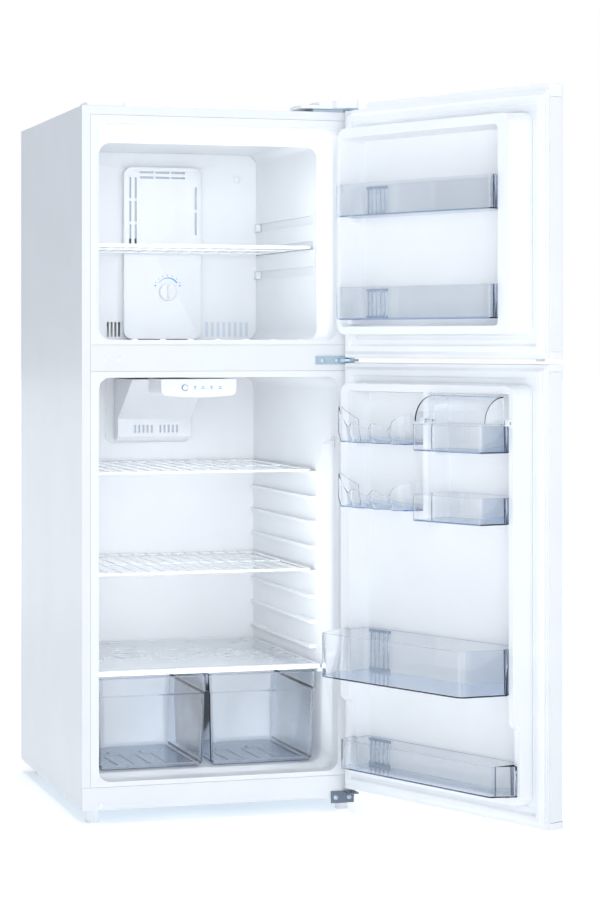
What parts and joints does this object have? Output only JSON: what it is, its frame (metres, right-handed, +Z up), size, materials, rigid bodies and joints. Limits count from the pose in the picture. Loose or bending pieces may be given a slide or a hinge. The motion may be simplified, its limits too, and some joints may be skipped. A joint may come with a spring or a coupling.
{
  "type": "top freezer refrigerator",
  "caption": "Two door top freezer refrigerator with both doors open, wire shelves, clear drawers, door bins and racks, on levelling feet and rollers.",
  "frame": {"origin": "middle of the front left levelling foot's pad, on the floor", "axes": "+Z up, the cabinet's front faces -Y, +X towards the hinge side"},
  "size_m": [0.8478, 1.2404, 1.5244],
  "materials": {
    "white_painted_steel": "gloss",
    "white_plastic": "satin",
    "insulation_foam": "matt",
    "seal_rubber": "matt",
    "clear_plastic": "clear, blue grey",
    "clear_glass": "clear",
    "coated_wire": "gloss",
    "plated_steel": "satin",
    "dark_plastic": "matt",
    "dark_steel": "satin",
    "aluminium_fins": "bare",
    "copper_tube": "bare copper"
  },
  "bodies": {
    "cabinet": {"cabinet_shell": "white_painted_steel", "rear_panel": "white_painted_steel", "sill_panel": "white_painted_steel", "divider_plate": "white_painted_steel", "fridge_liner": "white_plastic", "freezer_liner": "white_plastic", "cabinet_foam": "insulation_foam", "base_pan": "plated_steel", "compressor": "dark_steel", "drain_pan": "white_plastic", "refrigerant_pipe": "copper_tube", "cord_gland": "dark_plastic", "freezer_rear_cover": "white_plastic", "evaporator": "aluminium_fins", "fan_motor": "dark_steel", "air_duct_housing": "white_plastic", "control_box": "white_plastic", "interior_lamp": "clear_glass", "door_switch_plate": "white_plastic", "hinge_top_bracket": "plated_steel", "hinge_top_cover": "white_plastic", "hinge_hole_cap": "white_plastic", "hinge_middle_bracket": "plated_steel", "hinge_bottom_bracket": "plated_steel"},
    "crisper_left": {"crisper_drawer_left": "clear_plastic"},
    "crisper_right": {"crisper_drawer_right": "clear_plastic"},
    "drawer_cover": {"drawer_cover_frame": "white_plastic", "drawer_cover_glass": "clear_glass"},
    "fridge_shelf_upper": {"fridge_shelf_upper": "coated_wire"},
    "fridge_shelf_lower": {"fridge_shelf_lower": "coated_wire"},
    "freezer_shelf": {"freezer_shelf": "coated_wire"},
    "freezer_door": {"freezer_door_skin": "white_painted_steel", "freezer_door_bottom_cap": "white_plastic", "freezer_door_top_cap": "white_plastic", "freezer_door_foam": "insulation_foam", "freezer_door_gasket": "seal_rubber", "freezer_door_liner": "white_plastic"},
    "fridge_door": {"fridge_door_skin": "white_painted_steel", "fridge_door_bottom_cap": "white_plastic", "fridge_door_top_cap": "white_plastic", "fridge_door_foam": "insulation_foam", "fridge_door_gasket": "seal_rubber", "fridge_door_liner": "white_plastic"},
    "dairy_cover": {"dairy_cover": "clear_plastic"},
    "temperature_knob": {"freezer_temperature_knob": "white_plastic"},
    "control_button": {"control_button": "white_plastic"},
    "door_switch_plunger": {"door_switch_plunger": "white_plastic"},
    "foot_left": {"levelling_foot_front_left": "white_plastic"},
    "foot_right": {"levelling_foot_front_right": "white_plastic"},
    "roller_left": {"roller_rear_left": "dark_plastic"},
    "roller_right": {"roller_rear_right": "dark_plastic"},
    "evaporator_fan": {"fan_blade": "dark_plastic"},
    "freezer_bin_lower": {"freezer_bin_lower": "clear_plastic"},
    "freezer_bin_upper": {"freezer_bin_upper": "clear_plastic"},
    "bottom_bin": {"bottom_bin": "clear_plastic"},
    "large_bin": {"large_bin": "clear_plastic"},
    "small_bin": {"small_bin": "clear_plastic"},
    "dairy_bin": {"dairy_bin": "clear_plastic"},
    "can_rack_lower": {"can_rack_lower": "clear_plastic"},
    "can_rack_upper": {"can_rack_upper": "clear_plastic"}
  },
  "joints": [
    {"name": "freezer_door_swing", "type": "hinge", "parent": "cabinet", "child": "freezer_door", "pos_m": [0.563, -0.041, 1.24], "axis": [0, 0, 1], "range_deg": [-113.3, 0]},
    {"name": "fridge_door_swing", "type": "hinge", "parent": "cabinet", "child": "fridge_door", "pos_m": [0.563, -0.041, 0.507], "axis": [0, 0, 1], "range_deg": [-113.3, 0]},
    {"name": "crisper_left_slide", "type": "slide", "parent": "cabinet", "child": "crisper_left", "axis": [0, -1, 0], "range_m": [0, 0.3]},
    {"name": "crisper_right_slide", "type": "slide", "parent": "cabinet", "child": "crisper_right", "axis": [0, -1, 0], "range_m": [0, 0.17]},
    {"name": "drawer_cover_slide", "type": "slide", "parent": "cabinet", "child": "drawer_cover", "axis": [0, -1, 0], "range_m": [0, 0.15]},
    {"name": "fridge_shelf_upper_slide", "type": "slide", "parent": "cabinet", "child": "fridge_shelf_upper", "axis": [0, -1, 0], "range_m": [0, 0.2]},
    {"name": "fridge_shelf_lower_slide", "type": "slide", "parent": "cabinet", "child": "fridge_shelf_lower", "axis": [0, -1, 0], "range_m": [0, 0.2]},
    {"name": "freezer_shelf_slide", "type": "slide", "parent": "cabinet", "child": "freezer_shelf", "axis": [0, -1, 0], "range_m": [0, 0.008]},
    {"name": "freezer_bin_lower_lift", "type": "slide", "parent": "freezer_door", "child": "freezer_bin_lower", "axis": [0, 0, 1], "range_m": [0, 0.04]},
    {"name": "freezer_bin_upper_lift", "type": "slide", "parent": "freezer_door", "child": "freezer_bin_upper", "axis": [0, 0, 1], "range_m": [0, 0.04]},
    {"name": "bottom_bin_lift", "type": "slide", "parent": "fridge_door", "child": "bottom_bin", "axis": [0, 0, 1], "range_m": [0, 0.04]},
    {"name": "large_bin_lift", "type": "slide", "parent": "fridge_door", "child": "large_bin", "axis": [0, 0, 1], "range_m": [0, 0.04]},
    {"name": "small_bin_lift", "type": "slide", "parent": "fridge_door", "child": "small_bin", "axis": [0, 0, 1], "range_m": [0, 0.04]},
    {"name": "can_rack_lower_lift", "type": "slide", "parent": "fridge_door", "child": "can_rack_lower", "axis": [0, 0, 1], "range_m": [0, 0.04]},
    {"name": "can_rack_upper_lift", "type": "slide", "parent": "fridge_door", "child": "can_rack_upper", "axis": [0, 0, 1], "range_m": [0, 0.02]},
    {"name": "dairy_bin_pull", "type": "slide", "parent": "fridge_door", "child": "dairy_bin", "axis": [-0.9184, -0.3955, 0], "range_m": [0, 0.05]},
    {"name": "dairy_cover_tip", "type": "hinge", "parent": "fridge_door", "child": "dairy_cover", "pos_m": [0.67196, -0.47097, 0.849], "axis": [-0.3955, 0.9184, 0], "range_deg": [0, 80]},
    {"name": "freezer_temperature_turn", "type": "hinge", "parent": "cabinet", "child": "temperature_knob", "pos_m": [0.3015, 0.54, 1.126], "axis": [0, 1, 0], "range_deg": [-60, 60]},
    {"name": "control_button_press", "type": "slide", "parent": "cabinet", "child": "control_button", "axis": [0, 1, 0], "range_m": [0, 0.002], "stiffness_N_per_m": 300},
    {"name": "door_switch_press", "type": "slide", "parent": "cabinet", "child": "door_switch_plunger", "axis": [1, 0, 0], "range_m": [0, 0.013], "stiffness_N_per_m": 60},
    {"name": "foot_left_turn", "type": "hinge", "parent": "cabinet", "child": "foot_left", "pos_m": [0, 0, 0.01], "axis": [0, 0, 1], "continuous": true},
    {"name": "foot_right_turn", "type": "hinge", "parent": "cabinet", "child": "foot_right", "pos_m": [0.55, 0, 0.01], "axis": [0, 0, 1], "continuous": true},
    {"name": "roller_left_spin", "type": "hinge", "parent": "cabinet", "child": "roller_left", "pos_m": [0.015, 0.618, 0.017], "axis": [1, 0, 0], "continuous": true},
    {"name": "roller_right_spin", "type": "hinge", "parent": "cabinet", "child": "roller_right", "pos_m": [0.535, 0.618, 0.017], "axis": [1, 0, 0], "continuous": true},
    {"name": "fan_spin", "type": "hinge", "parent": "cabinet", "child": "evaporator_fan", "pos_m": [0.2895, 0.557, 1.33], "axis": [0, 1, 0], "continuous": true}
  ],
  "couplings": [
    {"joint": "door_switch_press", "follows": "fridge_door_swing", "m_per_rad": -0.00657}
  ]
}
